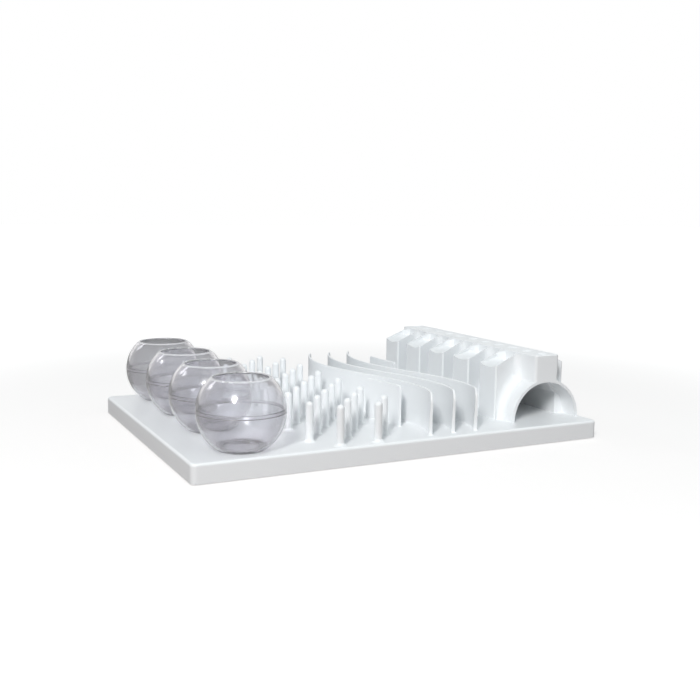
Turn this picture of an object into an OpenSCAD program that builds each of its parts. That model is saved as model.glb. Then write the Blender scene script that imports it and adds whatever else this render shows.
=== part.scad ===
// Pet activity board: a shallow moulded tray that carries lift-off globes, rows of pegs,
// curved alley walls and a tunnel block with food scoops on both sides.
// Millimetres. The origin is the centre of the board on the surface it stands on; the front is -Y.

/* [Board] */
// Width of the board, left to right
board_w = 400; // [390:1:460]
// Depth of the board, front to back
board_d = 300; // [290:1:340]
// Height of the tray from the skirt's lower edge to the deck
board_h = 16.5; // [14:0.5:24]
// Radius of the board's corners in plan
corner_r = 5; // [5:0.5:16]
// Radius of the edge between deck and skirt
edge_r = 2.5; // [1:0.5:4]
// Thickness of the deck
deck_t = 3; // [2.4:0.2:4]
// Thickness of the skirt
skirt_t = 3; // [2.4:0.2:4]
// Thickness of the ribs under the deck
rib_t = 1.8; // [1.2:0.2:3]
// Depth of the ribs under the deck
rib_h = 3.5; // [2:0.5:10]
// Distance between the ribs under the deck
rib_pitch = 75; // [60:1:90]

/* [Feet] */
// Diameter of a rubber foot
foot_d = 18; // [12:1:24]
// Height of a rubber foot
foot_h = 2.5; // [2:0.1:4]
// How far a foot stands out below the skirt
foot_proud = 1; // [0.6:0.1:1.6]
// Distance from the board's sides to a foot's centre
foot_inset = 24; // [20:1:40]
// How far the pad behind a foot is wider than the foot
foot_pad_rim = 2; // [1:0.5:4]

/* [Globes] */
// Outer diameter of a globe
globe_d = 75.5; // [70:0.5:78]
// Wall of a globe
globe_wall = 2.2; // [1.6:0.1:3]
// Height of the seam between a globe's halves above the deck
seam_h = 31.8; // [29:0.1:33]
// Height of a globe's rim above the deck
rim_h = 60.3; // [56:0.1:62]
// Radius of a globe's mouth
mouth_r = 23; // [18:0.5:23.5]
// Gap between neighbouring globes
globe_gap = 3; // [0.8:0.1:4]
// Distance from the board's left side to the middle of the globe row
globe_inset = 52.5; // [48:0.5:60]
// Diameter of the locating boss under a globe
boss_d = 30; // [24:0.5:32]
// Height of the locating boss under a globe
boss_h = 1.2; // [0.8:0.1:3]
// Thickness of a globe's floor
floor_t = 1.8; // [1.6:0.1:3]
// Height of the lip where a globe's halves lap
lap_h = 2.5; // [1.5:0.1:4]
// Thickness of the lip where a globe's halves lap
lap_t = 1; // [0.6:0.1:1.2]

/* [Pegs] */
// Diameter of a peg at the deck
peg_d = 7.2; // [5:0.1:9]
// Diameter of a peg below its domed tip
peg_tip_d = 6.8; // [4:0.1:7]
// Height of a peg above the deck
peg_h = 35; // [25:0.5:45]
// Radius of the fillet round a peg's foot
peg_fillet = 2.8; // [1.5:0.1:4]
// Distance between peg columns
peg_pitch_x = 18; // [15:0.5:20]
// Distance from the globes to the first peg column
peg_gap = 23.75; // [15:0.25:30]
// Distance from the board's front to the nearest peg
peg_margin = 9; // [8:0.5:16]

/* [Alley walls] */
// Height of the alley walls above the deck
wall_h = 38; // [30:0.5:44]
// Thickness of the alley walls
wall_t = 2; // [1.6:0.1:4]
// Radius of the fillet along a wall's foot
wall_fillet = 1.2; // [0.8:0.1:5]
// Radius of the upper corner at a long wall's front end
front_corner_r = 9; // [2:0.5:12]
// Radius of the other upper corners at the walls' ends
wall_corner_r = 3; // [2:0.5:10]
// Distance between the long walls
wall_pitch = 23.5; // [20:0.5:25]
// Distance from the last peg column to the first long wall's bow
wall_gap = 14; // [11:0.5:20]
// Distance from the board's back to the long walls
wall_back = 31; // [25:0.5:40]
// Distance from the board's front to the long walls
wall_front = 10; // [8:0.5:20]
// Radius of a long wall's back end
back_r = 130; // [110:1:150]
// Turn of a long wall's back end in degrees
back_turn = 32; // [24:1:36]
// Radius of a long wall's bows
bow_r = 200; // [180:1:220]
// Turn of each bow in degrees
bow_turn = 18; // [14:1:20]
// Radius of a long wall's front end
front_r = 85; // [70:1:100]
// Turn of a long wall's front end in degrees
front_turn = 25; // [18:1:30]
// Length of the two short guide walls
guide_l = 50; // [36:1:60]
// Distance from the front guide wall to the first long wall
front_guide_gap = 16; // [13:0.5:20]
// How far the front guide wall starts past the long wall's straight stretch
front_guide_shift = 7.5; // [0:0.5:12]
// Distance from the back guide wall to the last long wall
back_guide_gap = 26; // [18:0.5:30]
// Distance from the last long wall's bow to the tunnel block
side_gap = 34; // [28:0.5:40]

/* [Tunnel block] */
// Distance from the board's right side to the middle of the block
block_inset = 43.5; // [43:0.5:60]
// Distance from the board's front to the block's end face
block_margin = 23; // [18:0.5:30]
// Height of the spine above the deck
spine_h = 62; // [58:0.5:70]
// Width of the spine
spine_w = 27.5; // [24:0.5:32]
// Radius of the spine's upright edges
spine_r = 3; // [1:0.5:5]
// Diameter of the dimples along the spine's top
dimple_d = 12; // [8:0.5:14]
// Depth of the dimples along the spine's top
dimple_depth = 2; // [1:0.1:2.5]
// Distance from the block's end face to the first dimple
dimple_margin = 8.25; // [8:0.25:16]
// Wall of the block
block_wall = 2.5; // [2:0.1:3]
// Half the clear width of the tunnel
tunnel_half = 26; // [22:0.5:27]
// Height of the tunnel's straight sides
tunnel_side_h = 20.5; // [16:0.5:24]
// Height at which the tunnel's slanted sides reach the spine
tunnel_roof_h = 35.5; // [32:0.5:40]
// Outer radius of the hood over each tunnel mouth
hood_r = 38.5; // [37:0.5:42]
// Thickness of the hood's rim
hood_rim = 2.7; // [2:0.1:4]
// Depth of the round pocket inside the front mouth
pocket_l = 20; // [12:0.5:22]
// Depth of the round pocket inside the back mouth
back_pocket_l = 11; // [8:0.5:12]
// Distance from the block's end face to the first tooth
hood_l = 18; // [15:0.5:24]
// Length of a tooth's outer face
tooth_l = 28; // [22:0.5:32]
// Height of a tooth's outer face above the deck
tooth_h = 51.3; // [46:0.5:56]
// Reach of the left teeth from the middle of the block
left_reach = 46; // [42:0.5:50]
// Reach of the right teeth from the middle of the block
right_reach = 33; // [31:0.5:36]
// Sweep of the teeth towards the back in degrees
tooth_sweep = 18.7; // [10:0.1:22]
// Radius of the hollow between a tooth's front and the spine
valley_r = 5; // [4:0.5:10]
// Radius of a tooth's outer upright edges
tooth_edge_r = 1.5; // [0.5:0.1:3]
// Thickness of the ridges beside a scoop
ridge_t = 1.8; // [1.2:0.1:3]
// Depth of a scoop at its outer end
scoop_lip = 2; // [1.5:0.1:5]
// Depth of a scoop below the top of the spine
scoop_depth = 12; // [8:0.5:13]
// Distance from the spine to the centre of a scoop's round end
scoop_end = 8; // [7:0.5:10]

/* [Screws] */
// Diameter of the screws under the tunnel block
screw_d = 3; // [2.5:0.1:4]
// Length of a screw below its head
screw_l = 12; // [10:0.5:16]
// Diameter of a screw's head
head_d = 6.2; // [5:0.1:8]
// Height of a screw's head
head_h = 2.2; // [1.6:0.1:3]
// Diameter of a screw's boss in the block
screw_boss_d = 8; // [7:0.1:9]

/* [Clearances] */
// Clearance between a globe's foot and its boss
seat_clear = 0.3; // [0.2:0.05:0.6]
// Clearance between the lapping halves of a globe
lap_clear = 0.1; // [0.05:0.05:0.2]
// Clearance round a screw
screw_clear = 0.15; // [0.1:0.05:0.3]

/* [Hidden] */

$fn = 64;
// Overlap that joins or cuts cleanly
cut = 1;
// Thickness left at the feather edge of a fillet
feather = 0.2;
// Levels
deck_z = foot_proud + board_h;
// Globes
globe_r = globe_d / 2;
globe_x = globe_inset - board_w / 2;
globe_pitch = globe_d + globe_gap;
globe_count = 4;
boss_chamfer = 0.6;
// Pegs
peg_columns = 5;
peg_rows = 7;
peg_pitch_y = (board_d - 2 * peg_margin) / (peg_rows - 1);
// Alley walls
wall_count = 3;
wall_run_y = back_r * sin(back_turn) + 2 * bow_r * sin(bow_turn) + front_r * sin(front_turn);
wall_straight = (board_d - wall_back - wall_front - wall_run_y) / cos(bow_turn);
wall_lean = 2 * bow_r * (1 - cos(bow_turn)) + wall_straight * sin(bow_turn);
// Distances across the board follow the room between the globes and the block
play_w = board_w - globe_inset - globe_r - block_inset - left_reach;
fit = (play_w - wall_lean)
    / (peg_gap + (peg_columns - 1) * peg_pitch_x + wall_gap + (wall_count - 1) * wall_pitch + side_gap);
peg_step = fit * peg_pitch_x;
wall_step = fit * wall_pitch;
peg_x = globe_x + globe_r + fit * peg_gap;
wall_x = peg_x + (peg_columns - 1) * peg_step + fit * wall_gap;
wall_start = [wall_x + back_r * (1 - cos(back_turn)), board_d / 2 - wall_back];
wall_heading = 270 - back_turn;
wall_path = [
    [back_r, back_turn], [bow_r, bow_turn], [0, wall_straight], [bow_r, -bow_turn], [front_r, -front_turn]
];
bow_middle = [wall_x, board_d / 2 - wall_back - back_r * sin(back_turn)];
straight_start = bow_middle + bow_r * [1 - cos(bow_turn), -sin(bow_turn)];
guide_turn = guide_l * 180 / (PI * bow_r);
wall_top_r = wall_t / 3;
fillet_steps = 3;
top_steps = 2;
corner_steps = 7;
ring_step = 4.5;
// Tunnel block
block_x = board_w / 2 - block_inset;
block_l = board_d - 2 * block_margin;
spine_half = spine_w / 2;
spine_edge_r = 1;
tooth_count = 5;
tooth_pitch = (block_l - 2 * hood_l - tooth_l) / (tooth_count - 1);
tooth_run = tan(tooth_sweep);
dimple_count = 11;
dimple_pitch = (block_l - 2 * dimple_margin) / (dimple_count - 1);
dimple_r = (dimple_d * dimple_d / 4 + dimple_depth * dimple_depth) / (2 * dimple_depth);
core_half = tunnel_half + block_wall;
core_side_h = tunnel_side_h + block_wall / 2;
core_roof_h = tunnel_roof_h + block_wall / 2;
chimney_half = spine_half - block_wall;
chimney_h = spine_h - scoop_depth - block_wall;
mouth_in_r = hood_r - hood_rim;
// Screws
screw_rows = [0, 2, 4];
screw_left = (core_half + left_reach - block_wall) / 2;
screw_right = (tunnel_half + right_reach) / 2;

// A rectangle with round corners, centred
module rounded_rect(w, d, r) {
    square([w - 2 * r, d], center = true);
    square([w, d - 2 * r], center = true);
    for (x = [-1, 1], y = [-1, 1])
        translate([x * (w / 2 - r), y * (d / 2 - r)]) circle(r);
}

// Half section of a slab's side with a round upper edge, from an upright line at x = 0
module slab_section(r, h, e) {
    square([r, h - e]);
    square([r - e, h]);
    translate([r - e, h - e]) circle(e);
}

// A slab with round corners in plan and a round upper edge, standing on z = 0
module rounded_slab(w, d, h, r, e) {
    translate([r - w / 2, r - d / 2, 0]) cube([w - 2 * r, d - 2 * r, h]);
    for (turn = [0, 180]) rotate(turn) {
        translate([w / 2 - r, d / 2 - r, 0]) rotate([90, 0, 0])
            linear_extrude(d - 2 * r) slab_section(r, h, e);
        translate([r - w / 2, d / 2 - r, 0]) rotate([90, 0, 90])
            linear_extrude(w - 2 * r) slab_section(r, h, e);
        translate([w / 2 - r, d / 2 - r, 0]) rotate_extrude(angle = 90) slab_section(r, h, e);
        translate([r - w / 2, d / 2 - r, 0]) rotate(90) rotate_extrude(angle = 90) slab_section(r, h, e);
    }
}

// Fillet area of a foot that stands at x = 0 and spreads to +x
module foot_fillet(r) {
    difference() {
        square([r, r + feather]);
        translate([r, r + feather]) circle(r);
    }
}

// Outline round a corner with sides along a and b, for a fillet of radius r: from the fillet's centre
// to where it meets the sides, and a little past them
function corner_outline(p, a, b, r) =
    let (half = acos(a * b) / 2, reach = r / tan(half), axis = (a + b) / norm(a + b),
         past_a = cut * (cos(half) * a - axis) / sin(half), past_b = cut * (cos(half) * b - axis) / sin(half))
    [p + reach * a, p + r / sin(half) * axis, p + reach * b, p + reach * b + past_b,
     p - cut / sin(half) * axis, p + reach * a + past_a];
function fillet_centre(p, a, b, r) = p + r / sin(acos(a * b) / 2) * (a + b) / norm(a + b);

// Area added in a hollow corner
module corner_fill(p, a, b, r) difference() {
    polygon(corner_outline(p, a, b, r));
    translate(fillet_centre(p, a, b, r + feather)) circle(r);
}

// Area cut from a sharp corner
module corner_cut(p, a, b, r) difference() {
    polygon(corner_outline(p, a, b, r));
    translate(fillet_centre(p, a, b, r)) circle(r + feather / 4);
}

function foot_place(side_x, side_y) =
    [side_x * (board_w / 2 - foot_inset), side_y * (board_d / 2 - foot_inset), 0];
function globe_place(i) = [globe_x, (i - (globe_count + 1) / 2) * globe_pitch, deck_z];
// A screw's place under tooth i of one side, in the block's own frame
function tooth_y(i) = (i - (tooth_count - 1) / 2) * tooth_pitch;
function screw_place(i, side) =
    side < 0 ? [-screw_left, tooth_y(i) + (left_reach - screw_left) * tooth_run]
             : [screw_right, tooth_y(i) + (right_reach - screw_right) * tooth_run];

// Tray: deck, skirt, ribs, foot pads and the bosses that locate the globes

module tray_ribs() {
    inner_w = board_w - skirt_t;
    inner_d = board_d - skirt_t;
    half_x = floor((board_w / 2 - skirt_t) / rib_pitch);
    half_y = floor((board_d / 2 - skirt_t) / rib_pitch);
    translate([0, 0, deck_z - deck_t - rib_h]) {
        for (i = [-half_x : half_x - 1])
            translate([(i + 0.5) * rib_pitch - rib_t / 2, -inner_d / 2, 0]) cube([rib_t, inner_d, rib_h + cut]);
        for (i = [-half_y + 1 : half_y - 1])
            translate([-inner_w / 2, i * rib_pitch - rib_t / 2, 0]) cube([inner_w, rib_t, rib_h + cut]);
    }
}

module board_tray() color([0.91, 0.93, 0.94]) {
    difference() {
        union() {
            difference() {
                translate([0, 0, foot_proud]) rounded_slab(board_w, board_d, board_h, corner_r, edge_r);
                translate([0, 0, foot_proud - cut]) linear_extrude(board_h - deck_t + cut)
                    rounded_rect(board_w - 2 * skirt_t, board_d - 2 * skirt_t, corner_r - skirt_t);
            }
            tray_ribs();
            for (x = [-1, 1], y = [-1, 1]) translate(foot_place(x, y)) translate([0, 0, foot_h])
                cylinder(d = foot_d + 2 * foot_pad_rim, h = deck_z - foot_h - deck_t + cut);
            for (i = [1 : globe_count]) translate(globe_place(i)) {
                translate([0, 0, -cut]) cylinder(d = boss_d, h = boss_h - boss_chamfer + cut);
                translate([0, 0, boss_h - boss_chamfer])
                    cylinder(d1 = boss_d, d2 = boss_d - 2 * boss_chamfer, h = boss_chamfer);
            }
        }
        for (i = screw_rows, side = [-1, 1]) translate([block_x, 0, 0]) translate(screw_place(i, side)) {
            translate([0, 0, deck_z - deck_t - cut])
                cylinder(d = screw_d + 2 * screw_clear, h = deck_t + 2 * cut);
            cylinder(d = head_d + 2 * cut, h = deck_z - deck_t);
        }
    }
}

module foot(side_x, side_y) color([0.55, 0.56, 0.58]) translate(foot_place(side_x, side_y))
    rotate_extrude() {
        square([foot_d / 2, foot_h - feather]);
        square([foot_d / 2 - feather, foot_h]);
    }

// Pegs

module peg() rotate_extrude() {
    tip_r = peg_tip_d / 2;
    polygon([[0, 0], [peg_d / 2, 0], [tip_r, peg_h - tip_r], [0, peg_h - tip_r]]);
    intersection() {
        translate([0, peg_h - tip_r]) circle(tip_r);
        translate([0, peg_h - tip_r]) square(tip_r);
    }
    // The fillet starts inside the tapered shank
    translate([tip_r - feather, 0]) square([peg_d / 2 - tip_r + feather, feather]);
    translate([peg_d / 2 - feather / 2, 0]) foot_fillet(peg_fillet);
}

// Even columns hold a full row, odd ones stand half a step further on
module peg_column(i) color([0.91, 0.93, 0.94]) {
    count = i % 2 == 0 ? peg_rows : peg_rows - 1;
    for (k = [0 : count - 1])
        translate([peg_x + (i - 1) * peg_step, (k - (count - 1) / 2) * peg_pitch_y, deck_z]) peg();
}

// Alley walls: one section swept along a path of arcs and straights

function ahead(a) = [cos(a), sin(a)];
// A stretch of a path is [radius, turn] for an arc and [0, length] for a straight
function stretch_length(s) = s[0] == 0 ? s[1] : s[0] * abs(s[1]) * PI / 180;
function path_length(path, i = 0) = i == len(path) ? 0 : stretch_length(path[i]) + path_length(path, i + 1);
// Place and heading at a distance along a stretch that starts at p with heading a
function stretch_state(p, a, s, distance) =
    s[0] == 0 ? [p + distance * ahead(a), a]
              : let (side = sign(s[1]) * 90, turn = sign(s[1]) * distance / s[0] * 180 / PI,
                     centre = p + s[0] * ahead(a + side))
                [centre + s[0] * ahead(a + turn - side), a + turn];
// Place and heading at a distance along a path
function path_state(path, p, a, distance, i = 0) =
    let (length = stretch_length(path[i]))
    distance <= length || i == len(path) - 1
        ? stretch_state(p, a, path[i], distance)
        : let (next = stretch_state(p, a, path[i], length))
          path_state(path, next[0], next[1], distance - length, i + 1);

// Right half of the wall's section from the foot up, for a wall that ends at height h
function wall_half(h) = concat(
    [[wall_t / 2 + wall_fillet, 0]],
    [for (k = [0 : fillet_steps]) let (a = 90 * k / fillet_steps)
        [wall_t / 2 + wall_fillet * (1 - sin(a)), feather + wall_fillet * (1 - cos(a))]],
    [for (k = [0 : top_steps]) let (a = 90 * k / top_steps)
        [wall_t / 2 - wall_top_r * (1 - cos(a)), h - wall_top_r * (1 - sin(a))]]
);
function wall_ring(h) =
    let (half = wall_half(h), n = len(half))
    concat(half, [for (k = [n - 1 : -1 : 0]) [-half[k][0], half[k][1]]]);
// Height of a wall at a distance from an end with a round upper corner
function corner_height(distance, r) =
    let (in = max(r - distance, 0)) wall_h - r + sqrt(r * r - in * in);
// Distances along a wall at which its section stands: close together at the round ends
function corner_stations(r) = [for (k = [0 : corner_steps]) r * (1 - cos(90 * k / corner_steps))];
function wall_stations(length) =
    let (back = corner_stations(wall_corner_r), front = corner_stations(front_corner_r),
         body = length - wall_corner_r - front_corner_r, n = ceil(body / ring_step))
    concat(back, [for (k = [1 : n - 1]) wall_corner_r + body * k / n],
           [for (k = [corner_steps : -1 : 0]) length - front[k]]);

// Solid through a row of closed rings with the same number of points
module through_rings(points, rings) {
    n = len(points) / rings;
    polyhedron(points, concat(
        [[for (k = [n - 1 : -1 : 0]) k], [for (k = [0 : n - 1]) (rings - 1) * n + k]],
        [for (i = [0 : rings - 2], k = [0 : n - 1])
            let (a = i * n + k, b = i * n + (k + 1) % n) each [[a, b, a + n], [b, b + n, a + n]]]
    ));
}

module wall_along(path, start, heading) color([0.91, 0.93, 0.94]) translate([0, 0, deck_z]) {
    length = path_length(path);
    stations = wall_stations(length);
    points = [for (d = stations)
        let (state = path_state(path, start, heading, d), side = ahead(state[1] - 90))
        for (q = wall_ring(min(corner_height(d, wall_corner_r), corner_height(length - d, front_corner_r))))
            [state[0][0] + q[0] * side[0], state[0][1] + q[0] * side[1], q[1]]];
    through_rings(points, len(stations));
}

module alley_wall(i) wall_along(wall_path, wall_start + [(i - 1) * wall_step, 0], wall_heading);

// A short wall along one arc: the section turned about the arc's centre, its upper end corners rounded
module guide_corner() translate([bow_r - wall_t, 0, 0]) rotate([90, 0, 90]) linear_extrude(2 * wall_t)
    corner_cut([0, wall_h], [1, 0], [0, -1], wall_corner_r);

module guide_wall(start, heading, side) color([0.91, 0.93, 0.94]) {
    centre = start + bow_r * ahead(heading + side * 90);
    first = side > 0 ? heading - 90 : heading + 90 - guide_turn;
    translate([centre[0], centre[1], deck_z]) rotate(first) difference() {
        rotate_extrude(angle = guide_turn, $fn = 360) translate([bow_r, 0]) polygon(wall_ring(wall_h));
        guide_corner();
        rotate(guide_turn) mirror([0, 1, 0]) guide_corner();
    }
}

// The front guide runs beside the straight stretch of the first long wall and on past it
module front_guide_wall()
    guide_wall(straight_start + wall_straight * ahead(270 + bow_turn)
               - [fit * front_guide_gap, front_guide_shift], 270 + bow_turn, -1);

// The back guide stands beside the bow of the last long wall
module back_guide_wall()
    guide_wall(bow_middle + [(wall_count - 1) * wall_step + fit * back_guide_gap, guide_l / 2],
               270 - guide_turn / 4, 1);

// Tunnel block, modelled with the middle of its foot at the origin

module along_block(length) rotate([90, 0, 0]) linear_extrude(length, center = true) children();

module house(half, side_h, roof_half, roof_h, top_h)
    polygon([
        [-half, 0], [half, 0], [half, side_h], [roof_half, roof_h],
        [roof_half, top_h], [-roof_half, top_h], [-roof_half, roof_h], [-half, side_h]
    ]);

// Outside of the tunnel's own walls; the slanted roof runs on into the spine
module core_outside() {
    slope = (core_roof_h - core_side_h) / (core_half - spine_half);
    ridge_h = core_roof_h + 2 * cut * slope;
    along_block(block_l - 2 * cut)
        house(core_half, core_side_h, spine_half - 2 * cut, ridge_h, ridge_h + cut);
}

// Plan of a tooth that points to +x, with round outer edges and hollows beside the spine
module tooth_plan(y, reach) {
    run = (reach - spine_half) * tooth_run;
    inner = spine_half - 1.5 * cut;
    inner_run = (reach - inner) * tooth_run;
    front = y - tooth_l / 2;
    back = y + tooth_l / 2;
    inward = [-cos(tooth_sweep), sin(tooth_sweep)];
    difference() {
        union() {
            polygon([[inner, front + inner_run], [reach, front], [reach, back], [inner, back + inner_run]]);
            corner_fill([spine_half, front + run], -inward, [0, -1], valley_r);
            corner_fill([spine_half, back + run], -inward, [0, 1], valley_r / 2);
        }
        corner_cut([reach, front], inward, [0, 1], tooth_edge_r);
        corner_cut([reach, back], inward, [0, -1], tooth_edge_r);
    }
}

// Space above a tooth's sloping top
module above_tooth(reach) {
    root_h = spine_h - 1.5 * spine_edge_r;
    slope = (root_h - tooth_h) / (reach - spine_half);
    past = reach + 4 * cut;
    along_block(block_l + 2 * tooth_l) polygon([
        [spine_half - 2 * cut, root_h + 2 * cut * slope], [past, root_h - slope * (past - spine_half)],
        [past, spine_h + 4 * cut], [spine_half - 2 * cut, spine_h + 4 * cut]
    ]);
}

// Plan of a scoop: the tooth's plan less its ridges, with a round end that bites into the spine
module scoop_plan(y, reach, half) {
    inner = spine_half + scoop_end;
    past = reach + 2 * cut;
    edge = half / cos(tooth_sweep);
    end = [inner, y + (reach - inner) * tooth_run];
    mouth = [past, y + (reach - past) * tooth_run];
    translate(end) circle(half);
    polygon([end - [0, edge], mouth - [0, edge], mouth + [0, edge], end + [0, edge]]);
}

// Conical scoop in a tooth's top: shallow at the outer face, deep where it meets the spine
module scoop(y, reach) {
    half = tooth_l / 2 * cos(tooth_sweep) - ridge_t;
    outer_r = (half * half + scoop_lip * scoop_lip) / (2 * scoop_lip);
    inner_r = (half * half + scoop_depth * scoop_depth) / (2 * scoop_depth);
    outer_end = [reach, y, tooth_h - scoop_lip + outer_r];
    inner_end = [spine_half, y + (reach - spine_half) * tooth_run, spine_h - scoop_depth + inner_r];
    axis = outer_end - inner_end;
    length = norm(axis);
    spread = asin((outer_r - inner_r) / length);
    start = -inner_r * sin(spread) - inner_r / 2;
    r1 = (inner_r + start * sin(spread)) / cos(spread);
    r2 = (inner_r + length * sin(spread)) / cos(spread);
    intersection() {
        translate(inner_end) rotate([0, acos(axis[2] / length), atan2(axis[1], axis[0])])
            translate([0, 0, start]) cylinder(r1 = r1, r2 = r2, h = length - start);
        linear_extrude(2 * spine_h) scoop_plan(y, reach, half);
    }
}

module tooth(y, reach) difference() {
    linear_extrude(spine_h) tooth_plan(y, reach);
    above_tooth(reach);
    scoop(y, reach);
}

// Hollow inside a tooth, open below, beside the tunnel's own wall
module tooth_hollow(i, reach, side) {
    y = tooth_y(i);
    front = y - tooth_l / 2 + block_wall / cos(tooth_sweep);
    back = y + tooth_l / 2 - block_wall / cos(tooth_sweep);
    outer = reach - block_wall;
    inner = spine_half;
    difference() {
        translate([0, 0, -cut]) linear_extrude(tooth_h - scoop_lip - block_wall + cut) polygon([
            [inner, front + (reach - inner) * tooth_run], [outer, front + block_wall * tooth_run],
            [outer, back + block_wall * tooth_run], [inner, back + (reach - inner) * tooth_run]
        ]);
        translate([0, 0, -2 * cut]) core_outside();
        core_outside();
        if (len(search(i, screw_rows)) > 0) mirror([side < 0 ? 1 : 0, 0]) translate(screw_place(i, side))
            translate([0, 0, -2 * cut]) cylinder(d = screw_boss_d, h = tooth_h);
    }
}

// Half-round hood over a tunnel mouth; it ends inside the outermost teeth
module hood(end) {
    length = hood_l + tooth_l / 2;
    past = hood_r + cut;
    translate([0, end * (block_l - length) / 2, 0]) along_block(length) difference() {
        circle(hood_r, $fn = 96);
        translate([-past, -past]) square([2 * past, past]);
    }
}

// Round pockets inside the mouths, and between them the tunnel with slanted sides and a hollow spine
module tunnel_space() {
    translate([0, (pocket_l - back_pocket_l) / 2, -cut])
        along_block(block_l - pocket_l - back_pocket_l + cut)
        house(tunnel_half, tunnel_side_h + cut, chimney_half, tunnel_roof_h + cut, chimney_h + cut);
    for (end = [-1, 1]) translate([0, end * (block_l / 2 + cut), 0]) rotate([end * 90, 0, 0])
        cylinder(r = mouth_in_r, h = (end < 0 ? pocket_l : back_pocket_l) + cut, $fn = 96);
}

// Row of shallow round dimples along the top of the spine
module spine_dimples() for (k = [0 : dimple_count - 1])
    translate([0, (k - (dimple_count - 1) / 2) * dimple_pitch, spine_h - dimple_depth + dimple_r])
    sphere(dimple_r);

module tunnel_block() color([0.92, 0.93, 0.94]) translate([block_x, 0, deck_z]) difference() {
    union() {
        rounded_slab(spine_w, block_l, spine_h, spine_r, spine_edge_r);
        core_outside();
        for (end = [-1, 1]) hood(end);
        for (i = [0 : tooth_count - 1]) {
            tooth(tooth_y(i), right_reach);
            mirror([1, 0, 0]) tooth(tooth_y(i), left_reach);
        }
    }
    tunnel_space();
    spine_dimples();
    for (i = [0 : tooth_count - 1]) {
        tooth_hollow(i, right_reach, 1);
        mirror([1, 0, 0]) tooth_hollow(i, left_reach, -1);
    }
    for (i = screw_rows, side = [-1, 1]) translate(screw_place(i, side)) translate([0, 0, -cut])
        cylinder(d = screw_d + 2 * screw_clear, h = screw_l + cut);
}

module tunnel_screws() color([0.7, 0.71, 0.73]) translate([block_x, 0, deck_z - deck_t])
    for (i = screw_rows, side = [-1, 1]) translate(screw_place(i, side)) {
        cylinder(d = screw_d, h = screw_l);
        translate([0, 0, -head_h]) cylinder(d = head_d, h = head_h);
    }

// Globes: two half shells of revolution that lap at the seam; drawn about the middle of the sphere

module half_plane(low, high) translate([0, low]) square([globe_d, high - low]);

module globe_outside(low, high) intersection() {
    circle(globe_r, $fn = 120);
    half_plane(low, high);
}

module globe_lower(i) color([0.55, 0.53, 0.58, 0.45]) translate(globe_place(i)) translate([0, 0, seam_h])
    rotate_extrude($fn = 120) {
        lip_r = globe_r - globe_wall;
        difference() {
            globe_outside(-seam_h, 0);
            intersection() {
                circle(globe_r - globe_wall, $fn = 120);
                half_plane(boss_h + seat_clear + floor_t - seam_h, cut);
            }
            translate([0, -seam_h - cut]) square([boss_d / 2 + seat_clear, boss_h + seat_clear + cut]);
        }
        translate([lip_r, -lap_h / 2]) square([lap_t, 1.5 * lap_h]);
    }

module globe_upper(i) color([0.55, 0.53, 0.58, 0.45]) translate(globe_place(i)) translate([0, 0, seam_h])
    rotate_extrude($fn = 120) difference() {
        globe_outside(0, rim_h - seam_h);
        circle(globe_r - globe_wall, $fn = 120);
        square([globe_r - globe_wall + lap_t + lap_clear, lap_h + lap_clear]);
        square([mouth_r, rim_h]);
    }

board_tray();
foot(-1, -1);  // foot_front_left
foot(1, -1);  // foot_front_right
foot(-1, 1);  // foot_back_left
foot(1, 1);  // foot_back_right
peg_column(1);  // peg_column_1
peg_column(2);  // peg_column_2
peg_column(3);  // peg_column_3
peg_column(4);  // peg_column_4
peg_column(5);  // peg_column_5
alley_wall(1);  // alley_wall_1
alley_wall(2);  // alley_wall_2
alley_wall(3);  // alley_wall_3
front_guide_wall();
back_guide_wall();
tunnel_block();
tunnel_screws();
globe_lower(1);  // globe_1_lower
globe_upper(1);  // globe_1_upper
globe_lower(2);  // globe_2_lower
globe_upper(2);  // globe_2_upper
globe_lower(3);  // globe_3_lower
globe_upper(3);  // globe_3_upper
globe_lower(4);  // globe_4_lower
globe_upper(4);  // globe_4_upper
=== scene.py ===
# %% [markdown]
# # Pet activity board
# A shallow white tray carries four clear globes that lift off, five columns of pegs, curved alley
# walls and a tunnel block with scoops. The CAD frame holds every solid in its place already. This
# lesson dresses it: a camera at the photograph's angle, moulded plastic with a real skin, clear
# shells that bend light, the soft blend round the tunnel's hood, and a plain white studio.

from math import acos, cos, pi, radians, sin, sqrt, tan

import bmesh
import bpy
from mathutils import Matrix, Vector


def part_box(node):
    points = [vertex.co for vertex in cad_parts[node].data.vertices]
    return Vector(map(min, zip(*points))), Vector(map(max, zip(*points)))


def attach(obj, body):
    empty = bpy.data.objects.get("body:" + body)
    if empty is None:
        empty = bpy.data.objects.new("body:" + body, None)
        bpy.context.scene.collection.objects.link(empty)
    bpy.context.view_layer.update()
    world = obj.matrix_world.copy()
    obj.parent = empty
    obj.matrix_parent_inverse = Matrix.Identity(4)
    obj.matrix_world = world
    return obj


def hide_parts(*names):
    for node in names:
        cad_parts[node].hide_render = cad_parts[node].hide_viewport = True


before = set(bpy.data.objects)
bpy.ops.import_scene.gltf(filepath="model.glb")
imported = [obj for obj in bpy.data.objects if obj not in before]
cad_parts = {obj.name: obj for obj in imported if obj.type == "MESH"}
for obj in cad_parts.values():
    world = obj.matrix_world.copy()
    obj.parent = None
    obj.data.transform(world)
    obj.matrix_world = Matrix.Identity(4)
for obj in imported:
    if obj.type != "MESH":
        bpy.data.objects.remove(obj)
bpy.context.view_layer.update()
scene = bpy.context.scene
scene.view_settings.view_transform = "Standard"

# %% [markdown]
# ## Camera
# The photograph was taken from the front left, a little above the board. The board's four visible
# corners give the place, the turn and the focal length. A Track To constraint could aim a camera,
# but the photograph also leans by half a degree, so the camera's own axes are set directly.

# %% Camera
camera_place = Vector((-0.40934, -0.84531, 0.21158))
camera_turn, camera_rise, camera_lean = radians(-26.391), radians(8.214), radians(0.635)
photo_px, focal_px = 700, 954.2

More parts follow.
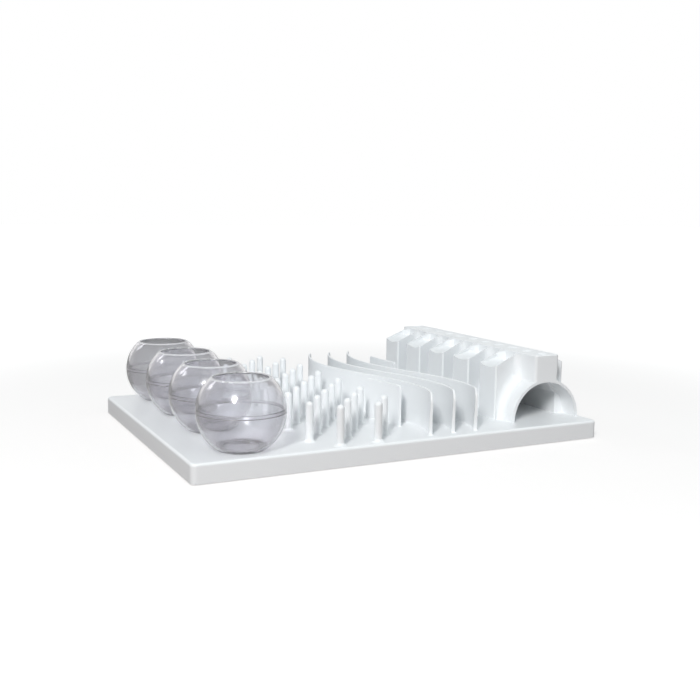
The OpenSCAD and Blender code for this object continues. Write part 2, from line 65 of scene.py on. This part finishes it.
back = Vector((sin(camera_turn) * cos(camera_rise), -cos(camera_turn) * cos(camera_rise), sin(camera_rise)))
level = Vector((cos(camera_turn), sin(camera_turn), 0))
upright = back.cross(level)
across = cos(camera_lean) * level + sin(camera_lean) * upright
upward = cos(camera_lean) * upright - sin(camera_lean) * level

lens = bpy.data.cameras.new("photo_camera")
lens.lens = lens.sensor_width * focal_px / photo_px
camera = bpy.data.objects.new("photo_camera", lens)
camera.matrix_world = Matrix.Translation(camera_place) @ Matrix((across, upward, back)).transposed().to_4x4()
scene.collection.objects.link(camera)
scene.camera = camera
print("lens", round(lens.lens, 2), "mm")

# %% [markdown]
# ## Shared skin of moulded plastic
# A moulding is never quite even: its gloss drifts over some centimetres as the mould's polish does,
# and a fine grain breaks up small highlights. Both are needed on the white plastic, the clear shells
# and the rubber, so they are one node group that each material places with its own values.

# %% Moulded skin group
def add_node(tree, kind, **settings):
    node = tree.nodes.new(kind)
    for name, value in settings.items():
        setattr(node, name, value)
    return node


def moulded_skin_group():
    tree = bpy.data.node_groups.new("moulded_skin", "ShaderNodeTree")
    sockets = tree.interface
    for name, value in (("Drift per metre", 30), ("Grain per metre", 2500), ("Grain depth", 0.1),
                        ("Low roughness", 0.3), ("High roughness", 0.4)):
        sockets.new_socket(name, in_out="INPUT", socket_type="NodeSocketFloat").default_value = value
    sockets.new_socket("Drift", in_out="OUTPUT", socket_type="NodeSocketFloat")
    sockets.new_socket("Roughness", in_out="OUTPUT", socket_type="NodeSocketFloat")
    sockets.new_socket("Normal", in_out="OUTPUT", socket_type="NodeSocketVector")

    values = add_node(tree, "NodeGroupInput")
    results = add_node(tree, "NodeGroupOutput")
    place = add_node(tree, "ShaderNodeTexCoord")
    drift = add_node(tree, "ShaderNodeTexNoise")
    drift.inputs["Detail"].default_value = 3
    grain = add_node(tree, "ShaderNodeTexNoise")
    grain.inputs["Detail"].default_value = 1
    gloss = add_node(tree, "ShaderNodeMapRange")
    bump = add_node(tree, "ShaderNodeBump")
    bump.inputs["Distance"].default_value = 0.0001
    join = tree.links.new
    for noise, rate in ((drift, "Drift per metre"), (grain, "Grain per metre")):
        join(place.outputs["Object"], noise.inputs["Vector"])
        join(values.outputs[rate], noise.inputs["Scale"])
    join(drift.outputs["Fac"], gloss.inputs["Value"])
    join(values.outputs["Low roughness"], gloss.inputs["To Min"])
    join(values.outputs["High roughness"], gloss.inputs["To Max"])
    gloss.inputs["From Min"].default_value, gloss.inputs["From Max"].default_value = 0.3, 0.7
    join(grain.outputs["Fac"], bump.inputs["Height"])
    join(values.outputs["Grain depth"], bump.inputs["Strength"])
    join(drift.outputs["Fac"], results.inputs["Drift"])
    join(gloss.outputs["Result"], results.inputs["Roughness"])
    join(bump.outputs["Normal"], results.inputs["Normal"])
    return tree


moulded_skin = moulded_skin_group()
print("group", moulded_skin.name, "with", len(moulded_skin.nodes), "nodes")

# %% [markdown]
# ## White plastic, rubber and steel
# The tray, pegs, walls and block are one satin white plastic with a cool cast. The feet are grey
# rubber, duller and grainier, and the screws are plain steel. Each takes two close tones, mixed by the
# skin's slow drift, instead of one flat colour.

# %% Solid finishes
def skinned_material(name, tone, other_tone, **skin_values):
    material = bpy.data.materials.new(name)
    material.use_nodes = True
    tree = material.node_tree
    shader = tree.nodes["Principled BSDF"]
    skin = add_node(tree, "ShaderNodeGroup", node_tree=moulded_skin)
    for socket, value in skin_values.items():
        skin.inputs[socket.replace("_", " ").capitalize()].default_value = value
    tones = add_node(tree, "ShaderNodeMix", data_type="RGBA")
    tones.inputs["A"].default_value = (*tone, 1)
    tones.inputs["B"].default_value = (*other_tone, 1)
    tree.links.new(skin.outputs["Drift"], tones.inputs["Factor"])
    tree.links.new(tones.outputs["Result"], shader.inputs["Base Color"])
    tree.links.new(skin.outputs["Roughness"], shader.inputs["Roughness"])
    tree.links.new(skin.outputs["Normal"], shader.inputs["Normal"])
    return material, shader


white_plastic, shader = skinned_material(
    "white_plastic", (0.925, 0.942, 0.953), (0.9, 0.919, 0.932),
    low_roughness=0.3, high_roughness=0.42, grain_depth=0.06)
foot_rubber, shader = skinned_material(
    "foot_rubber", (0.22, 0.225, 0.235), (0.27, 0.275, 0.285),
    low_roughness=0.6, high_roughness=0.75, grain_depth=0.35, grain_per_metre=1800)
screw_steel, shader = skinned_material(
    "screw_steel", (0.56, 0.57, 0.58), (0.62, 0.62, 0.63),
    low_roughness=0.25, high_roughness=0.4, drift_per_metre=400, grain_depth=0.1)
shader.inputs["Metallic"].default_value = 1
print("finishes", [material.name for material in (white_plastic, foot_rubber, screw_steel)])

# %% [markdown]
# ## Smoky clear plastic
# The globes are clear plastic with a grey smoke in it, and a trace of haze: a twentieth of the light is
# scattered by the wall, so what stands behind shows a little softly. The outside is polished, and a thin coat
# widens its highlights. A lamp's light passes a real shell, so shadow rays see a tinted Transparent shader
# instead of the refracting one.

# %% Clear finish
def clear_plastic(name, tone, other_tone, clear_share, low_roughness, high_roughness):
    material, shader = skinned_material(
        name, tone, other_tone, low_roughness=low_roughness, high_roughness=high_roughness,
        drift_per_metre=45, grain_depth=0.0)
    for socket, value in (("Transmission Weight", clear_share), ("IOR", 1.45),
                          ("Coat Weight", 0.4), ("Coat Roughness", 0.15)):
        shader.inputs[socket].default_value = value
    tree = material.node_tree
    rays = add_node(tree, "ShaderNodeLightPath")
    passing = add_node(tree, "ShaderNodeBsdfTransparent")
    passing.inputs["Color"].default_value = (0.7, 0.69, 0.7, 1)
    choice = add_node(tree, "ShaderNodeMixShader")
    tree.links.new(rays.outputs["Is Shadow Ray"], choice.inputs[0])
    tree.links.new(shader.outputs["BSDF"], choice.inputs[1])
    tree.links.new(passing.outputs["BSDF"], choice.inputs[2])
    tree.links.new(choice.outputs["Shader"], tree.nodes["Material Output"].inputs["Surface"])
    return material, shader


clear_smoke, shader = clear_plastic(
    "clear_smoke", (0.92, 0.925, 0.95), (0.9, 0.905, 0.93), 0.95, low_roughness=0.05, high_roughness=0.08)
print("clear finish", clear_smoke.name)

# %% [markdown]
# Near the globe's outline the path in the wall is longer, so the tint deepens there. The darker outline is
# also partly painted shade: it stands in for the dim room seen in the wall's gloss at grazing angles. Layer
# Weight gives both, inside the material, and the deeper tone is a little redder.

# %% Deeper outline, partly painted shade
tree = clear_smoke.node_tree
outline = add_node(tree, "ShaderNodeLayerWeight")
outline.inputs["Blend"].default_value = 0.3
# Darker, redder tone at the outline: a longer path in the tint, and partly painted shade.
deeper_tint_and_shade = add_node(tree, "ShaderNodeMix", data_type="RGBA")
deeper_tint_and_shade.inputs["B"].default_value = (0.6, 0.56, 0.59, 1)
tree.links.new(outline.outputs["Facing"], deeper_tint_and_shade.inputs["Factor"])
tree.links.new(shader.inputs["Base Color"].links[0].from_socket, deeper_tint_and_shade.inputs["A"])
tree.links.new(deeper_tint_and_shade.outputs["Result"], shader.inputs["Base Color"])

# %% [markdown]
# A clear moulding shows its edges. The rim gathers light from inside the wall and looks like a thin white ring;
# that light is painted on, as a whiter and hazier finish on the rim. The step of the lap at the seam sends the
# light aside and looks like a dark line; that shade is painted on too, as a darker finish on the seam.

# %% Edge finishes: painted light on the rim, painted shade at the seam
# The rim's finish is painted light, the seam's finish is painted shade.
clear_rim_painted_light, shader = clear_plastic(
    "clear_rim_painted_light", (0.93, 0.93, 0.95), (0.9, 0.9, 0.92), 0.55, low_roughness=0.2, high_roughness=0.3)
clear_seam_painted_shade, shader = clear_plastic(
    "clear_seam_painted_shade", (0.46, 0.44, 0.46), (0.42, 0.4, 0.42), 0.7, low_roughness=0.2, high_roughness=0.3)
print("edge finishes", clear_rim_painted_light.name, clear_seam_painted_shade.name)

# %% [markdown]
# ## Finishes on the CAD nodes
# Most solids already have the right shape, so they stay and take a finish by what they are made of. The
# globes' solids are replaced further down, by finer shells.

# %% Dress the CAD nodes
def finish_of(node_name):
    if node_name.startswith("globe"):
        return clear_smoke
    if node_name.startswith("foot"):
        return foot_rubber
    return screw_steel if node_name == "tunnel_screws" else white_plastic


for name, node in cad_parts.items():
    node.data.materials.clear()
    node.data.materials.append(finish_of(name))
print("dressed", len(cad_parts), "nodes")

# %% [markdown]
# ## Globe shells
# Each globe is two clear half shells with a lap at the seam and a rounded rim. A lathe makes such a
# shape: a profile is spun round the upright axis. The profile's arcs come from spinning one vertex, the
# straight stretches from edges, and a bevel rounds the sharp rings that catch the light.

# %% Lathe helpers
mm = 0.001


def put_in_scene(bm, name):
    mesh = bpy.data.meshes.new(name)
    bm.to_mesh(mesh)
    bm.free()
    mesh.shade_smooth()
    mesh.set_sharp_from_angle(angle=radians(35))
    piece = bpy.data.objects.new(name, mesh)
    scene.collection.objects.link(piece)
    return piece


def line_to(bm, start, x, z):
    end = bm.verts.new((x, 0, z))
    bm.edges.new((start, end))
    return end


def arc_to(bm, start, centre_z, end_z, steps=40):
    """Spin one vertex round a point of the axis until it stands at the height end_z."""
    radius = sqrt(start.co.x ** 2 + (start.co.z - centre_z) ** 2)
    turn = acos((start.co.z - centre_z) / radius) - acos((end_z - centre_z) / radius)
    spun = bmesh.ops.spin(bm, geom=[start], cent=(0, 0, centre_z), axis=(0, 1, 0), angle=-turn, steps=steps)
    return next(item for item in spun["geom_last"] if isinstance(item, bmesh.types.BMVert))


def lathe(bm, turns=128):
    bmesh.ops.spin(bm, geom=bm.verts[:] + bm.edges[:], axis=(0, 0, 1), angle=2 * pi, steps=turns, use_merge=True)
    bmesh.ops.remove_doubles(bm, verts=bm.verts, dist=0.005 * mm)
    bmesh.ops.recalc_face_normals(bm, faces=bm.faces)


def soften(bm, offset, low, high, segments=3, angle=radians(40)):
    """Round the sharp edges between two heights."""
    sharp = [edge for edge in bm.edges if edge.is_manifold and edge.calc_face_angle() > angle
             and low < edge.verts[0].co.z < high]
    bmesh.ops.bevel(bm, geom=sharp, offset=offset, segments=segments, profile=0.5, affect="EDGES",
                    material=-1, clamp_overlap=True)


# %% [markdown]
# The lower half has a thick floor with a recess that sits on the deck's boss, and a thin lip that the upper
# half laps over. The upper half ends at the mouth, cut level.

# %% Globe profiles
wall, floor_top, recess_r, recess_h = 2.2 * mm, 3.3 * mm, 15.3 * mm, 1.5 * mm
lip_t, lip_h, lip_gap, seam_gap = 1.0 * mm, 2.5 * mm, 0.1 * mm, 0.15 * mm
mouth_r = 23 * mm


def lower_half(outer_r, seam_z):
    inner_r = outer_r - wall
    bm = bmesh.new()
    point = bm.verts.new((0, 0, recess_h))
    point = line_to(bm, point, recess_r, recess_h)
    point = line_to(bm, point, recess_r, 0)
    point = line_to(bm, point, sqrt(outer_r ** 2 - seam_z ** 2), 0)
    point = arc_to(bm, point, seam_z, seam_z - seam_gap)
    point = line_to(bm, point, inner_r + lip_t, seam_z - seam_gap)
    point = line_to(bm, point, inner_r + lip_t, seam_z + lip_h)
    point = line_to(bm, point, inner_r, seam_z + lip_h)
    point = line_to(bm, point, inner_r, seam_z)
    point = arc_to(bm, point, seam_z, floor_top)
    line_to(bm, point, 0, floor_top)
    return bm


def upper_half(outer_r, seam_z, rim_z):
    inner_r = outer_r - wall
    bm = bmesh.new()
    first = bm.verts.new((outer_r, 0, seam_z))
    point = arc_to(bm, first, seam_z, rim_z)
    point = line_to(bm, point, mouth_r, rim_z)
    point = line_to(bm, point, mouth_r, seam_z + sqrt(inner_r ** 2 - mouth_r ** 2))
    point = arc_to(bm, point, seam_z, seam_z + lip_h + lip_gap)
    point = line_to(bm, point, inner_r + lip_t + lip_gap, seam_z + lip_h + lip_gap)
    point = line_to(bm, point, inner_r + lip_t + lip_gap, seam_z)
    bm.edges.new((point, first))
    return bm


# %% [markdown]
# The frame's boxes give each globe's place, radius, seam and rim. After the spin, faces near the rim take the
# painted light and faces near the seam the painted shade, by their height.

# %% Globes
globe_count = 4
rounding, rim_rounding = 0.3 * mm, 0.75 * mm
rim_band, seam_band = 1.0 * mm, 0.4 * mm

for number in range(1, globe_count + 1):
    low, seam = (Vector(corner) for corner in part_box(f"globe_{number}_lower"))
    rim = Vector(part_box(f"globe_{number}_upper")[1])
    outer_r = (seam.x - low.x) / 2
    seam_z = seam.z - lip_h - low.z
    place = Vector(((low.x + seam.x) / 2, (low.y + seam.y) / 2, low.z))
    halves = {"lower": lower_half(outer_r, seam_z), "upper": upper_half(outer_r, seam_z, rim.z - low.z)}
    for half, bm in halves.items():
        lathe(bm)
        soften(bm, rounding, -mm, seam_z + 2 * lip_h)
        soften(bm, rim_rounding, seam_z + 2 * lip_h, rim.z)
        for face in bm.faces:
            height = face.calc_center_median().z
            # Rim band: painted light finish; seam band: painted shade finish.
            if height > rim.z - low.z - rim_band:
                face.material_index = 1
            elif abs(height - seam_z) < seam_band:
                face.material_index = 2
        bmesh.ops.translate(bm, verts=bm.verts, vec=place)
        shell = put_in_scene(bm, f"globe_{number}_{half}_shell")
        for finish in (clear_smoke, clear_rim_painted_light, clear_seam_painted_shade):
            shell.data.materials.append(finish)
        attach(shell, f"globe_{number}")
        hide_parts(f"globe_{number}_{half}")
        print(shell.name, len(shell.data.polygons), "faces")

# %% [markdown]
# ## Blend round the hood
# On the real moulding the half-round hood runs into the outermost teeth in a soft hollow, wide at the
# front and tighter at the back. A bevel on the CAD mesh would have to follow a long curved crease; a
# spin is steadier: one hollow arc, spun about an axis square to the tooth's wall, is the blend. It is
# cut off at the tooth's outer edge and inside the spine.

# %% Hood blends
tooth_sweep = radians(18.7)
hood_r, teeth_half, spine_half, tooth_edge_r = 38.5 * mm, 109 * mm, 13.75 * mm, 1.5 * mm
tooth_reach = {"left": 46 * mm, "right": 33 * mm}
block_corner = Vector(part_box("tunnel_block")[0])
block_place = Vector((block_corner.x + tooth_reach["left"], 0, 17.5 * mm))
blend_r = {"front": 7.6 * mm, "back": 5 * mm}
blend_skin, blend_root = 0.05 * mm, 1.5 * mm


def first_vert(geometry):
    return next(item for item in geometry if isinstance(item, bmesh.types.BMVert))


def hood_blend(end, reach, r):
    """A hollow fillet between the hood and a tooth that points to +X; end is -1 at the front."""
    outward = end * Vector((sin(tooth_sweep), cos(tooth_sweep), 0))
    along = Vector((cos(tooth_sweep), -sin(tooth_sweep), 0))
    # The circle that follows the slanted cut through the hood best, up to 70 degrees round it
    long_half, match = (hood_r + r) / cos(tooth_sweep), cos(radians(70))
    ring_r = long_half * (1 - match) / 2 + (hood_r + r) ** 2 * (1 + match) / (2 * long_half)
    wall_y = end * teeth_half + reach * tan(tooth_sweep)
    centre = Vector((0, wall_y + end * r / cos(tooth_sweep), 0)) + (long_half - ring_r) * along
    tube = centre + ring_r * along

    bm = bmesh.new()
    on_wall = bm.verts.new(tube - (r - blend_skin) * outward)
    arc = bmesh.ops.spin(bm, geom=[on_wall], cent=tube, axis=(0, 0, 1), steps=16,
                         angle=-end * (pi / 2 - end * tooth_sweep))
    on_hood = first_vert(arc["geom_last"])
    root = [bm.verts.new(on_hood.co - blend_root * along),
            bm.verts.new(tube - (r + blend_root) * (along + outward)),
            bm.verts.new(on_wall.co - blend_root * outward)]
    for pair in zip([on_hood] + root, root + [on_wall]):
        bm.edges.new(pair)
    bmesh.ops.spin(bm, geom=bm.verts[:] + bm.edges[:], cent=centre, axis=outward, angle=-end * radians(85), steps=56)
    for x, keep_side in ((spine_half - blend_root, -1), (reach - tooth_edge_r, 1)):
        bmesh.ops.bisect_plane(bm, geom=bm.verts[:] + bm.edges[:] + bm.faces[:], plane_co=(x, 0, 0),
                               plane_no=(keep_side, 0, 0), clear_outer=True)
    bmesh.ops.holes_fill(bm, edges=[edge for edge in bm.edges if edge.is_boundary], sides=0)
    return bm


for end, end_name in ((-1, "front"), (1, "back")):
    for side, side_name in ((-1, "left"), (1, "right")):
        bm = hood_blend(end, tooth_reach[side_name], blend_r[end_name])
        bmesh.ops.scale(bm, verts=bm.verts, vec=(side, 1, 1))
        bmesh.ops.translate(bm, verts=bm.verts, vec=block_place)
        bmesh.ops.recalc_face_normals(bm, faces=bm.faces)
        blend = put_in_scene(bm, f"hood_blend_{end_name}_{side_name}")
        blend.data.materials.append(white_plastic)
        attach(blend, "board")
        print(blend.name, len(blend.data.polygons), "faces")

# %% [markdown]
# ## Studio
# The photograph's background is plain white, so the room is white wherever it is seen: straight, in gloss
# or through clear plastic. Light on a matt surface sets the shading and is another matter: for it the room
# is dimmer and cool, and the floor is warm and dark, so that it throws little light on the skirt. Light
# Path tells these cases apart: a ray that has left a matt surface has a Diffuse Depth above 0.

# %% What is seen
def seen_share(tree):
    """1 for what is seen straight, in gloss or through clear plastic; 0 for light on a matt surface."""
    rays = add_node(tree, "ShaderNodeLightPath")
    share = rays.outputs["Is Camera Ray"]
    for kind in ("Is Glossy Ray", "Is Transmission Ray"):
        either = add_node(tree, "ShaderNodeMath", operation="MAXIMUM")
        tree.links.new(share, either.inputs[0])
        tree.links.new(rays.outputs[kind], either.inputs[1])
        share = either.outputs["Value"]
    not_matt = add_node(tree, "ShaderNodeMath", operation="LESS_THAN")
    not_matt.inputs[1].default_value = 0.5
    both = add_node(tree, "ShaderNodeMath", operation="MULTIPLY")
    tree.links.new(rays.outputs["Diffuse Depth"], not_matt.inputs[0])
    tree.links.new(share, both.inputs[0])
    tree.links.new(not_matt.outputs["Value"], both.inputs[1])
    return both.outputs["Value"]


# %% [markdown]
# The floor is pale where it is seen. Only the camera's share is topped up to white, more with the distance,
# so that the floor keeps the object's shadow.

# %% Floor
def floor_material():
    material = bpy.data.materials.new("studio_floor")
    material.use_nodes = True
    tree = material.node_tree
    shader = tree.nodes["Principled BSDF"]
    shader.inputs["Roughness"].default_value = 0.9
    shader.inputs["Specular IOR Level"].default_value = 0.1
    shader.inputs["Emission Color"].default_value = (1, 1, 1, 1)
    seen = seen_share(tree)
    tones = add_node(tree, "ShaderNodeMix", data_type="RGBA")
    tones.inputs["A"].default_value = (0.22, 0.16, 0.14, 1)
    tones.inputs["B"].default_value = (0.5, 0.485, 0.475, 1)
    place = add_node(tree, "ShaderNodeTexCoord")
    distance = add_node(tree, "ShaderNodeVectorMath", operation="LENGTH")
    fade = add_node(tree, "ShaderNodeMapRange", interpolation_type="SMOOTHSTEP")
    for socket, value in (("From Min", 0.35), ("From Max", 1.2), ("To Min", 0.57), ("To Max", 1.0)):
        fade.inputs[socket].default_value = value
    share = add_node(tree, "ShaderNodeMath", operation="MULTIPLY")
    tree.links.new(seen, tones.inputs["Factor"])
    tree.links.new(tones.outputs["Result"], shader.inputs["Base Color"])
    tree.links.new(place.outputs["Object"], distance.inputs[0])
    tree.links.new(distance.outputs["Value"], fade.inputs["Value"])
    rays = add_node(tree, "ShaderNodeLightPath")
    tree.links.new(rays.outputs["Is Camera Ray"], share.inputs[0])
    tree.links.new(fade.outputs["Result"], share.inputs[1])
    tree.links.new(share.outputs["Value"], shader.inputs["Emission Strength"])
    return material


bm = bmesh.new()
bmesh.ops.create_grid(bm, x_segments=1, y_segments=1, size=12)
studio_floor = put_in_scene(bm, "studio_floor")
studio_floor.data.materials.append(floor_material())

# %% [markdown]
# The room is one even background in two strengths, chosen by the same share.

# %% Room
room = bpy.data.worlds.new("white_room")
scene.world = room
room.use_nodes = True
tree = room.node_tree
lit = tree.nodes["Background"]
lit.inputs["Color"].default_value = (0.895, 0.969, 1.0, 1)
lit.inputs["Strength"].default_value = 0.31
white = add_node(tree, "ShaderNodeBackground")
white.inputs["Color"].default_value = (1, 1, 1, 1)
choice = add_node(tree, "ShaderNodeMixShader")
tree.links.new(seen_share(tree), choice.inputs[0])
tree.links.new(lit.outputs["Background"], choice.inputs[1])
tree.links.new(white.outputs["Background"], choice.inputs[2])
tree.links.new(choice.outputs["Shader"], tree.nodes["World Output"].inputs["Surface"])
print("room", room.name, "strength", round(lit.inputs["Strength"].default_value, 2))

# %% [markdown]
# ## Lamps
# The photograph's shadows all run the same way, to the back right, and the round highlight on each globe
# gives the height of the lamp that throws them: one soft box above and left of the camera is the key. A very
# broad one fills from the right, and a small tall one, like a window, draws the long highlight at the left
# of the globes. Each lamp was rendered alone, and the strengths are those whose sum comes closest to the
# photograph's tones.

# %% Lamps
def soft_box(name, direction, distance, size, watts, tint=(1, 1, 1)):
    lamp = bpy.data.lights.new(name, "AREA")
    lamp.shape = "ELLIPSE"
    lamp.size, lamp.size_y = size
    lamp.energy = watts
    lamp.color = tint
    box = bpy.data.objects.new(name, lamp)
    towards = Vector(direction).normalized()
    box.location = distance * towards
    box.rotation_euler = towards.to_track_quat("Z", "Y").to_euler()
    box.visible_camera = box.visible_transmission = False
    scene.collection.objects.link(box)
    print(name, [round(v, 2) for v in box.location], watts, "W")


soft_box("key_soft_box", (-0.515, -0.624, 0.588), 2.5, (0.45, 0.7), 40)
soft_box("right_fill", (0.6, -0.5, 0.6), 3.5, (5.0, 5.0), 27, (0.9, 0.97, 1))
soft_box("side_window", (-0.537, 0.649, 0.541), 2.0, (0.3, 0.65), 2.2, (0.93, 0.93, 1))
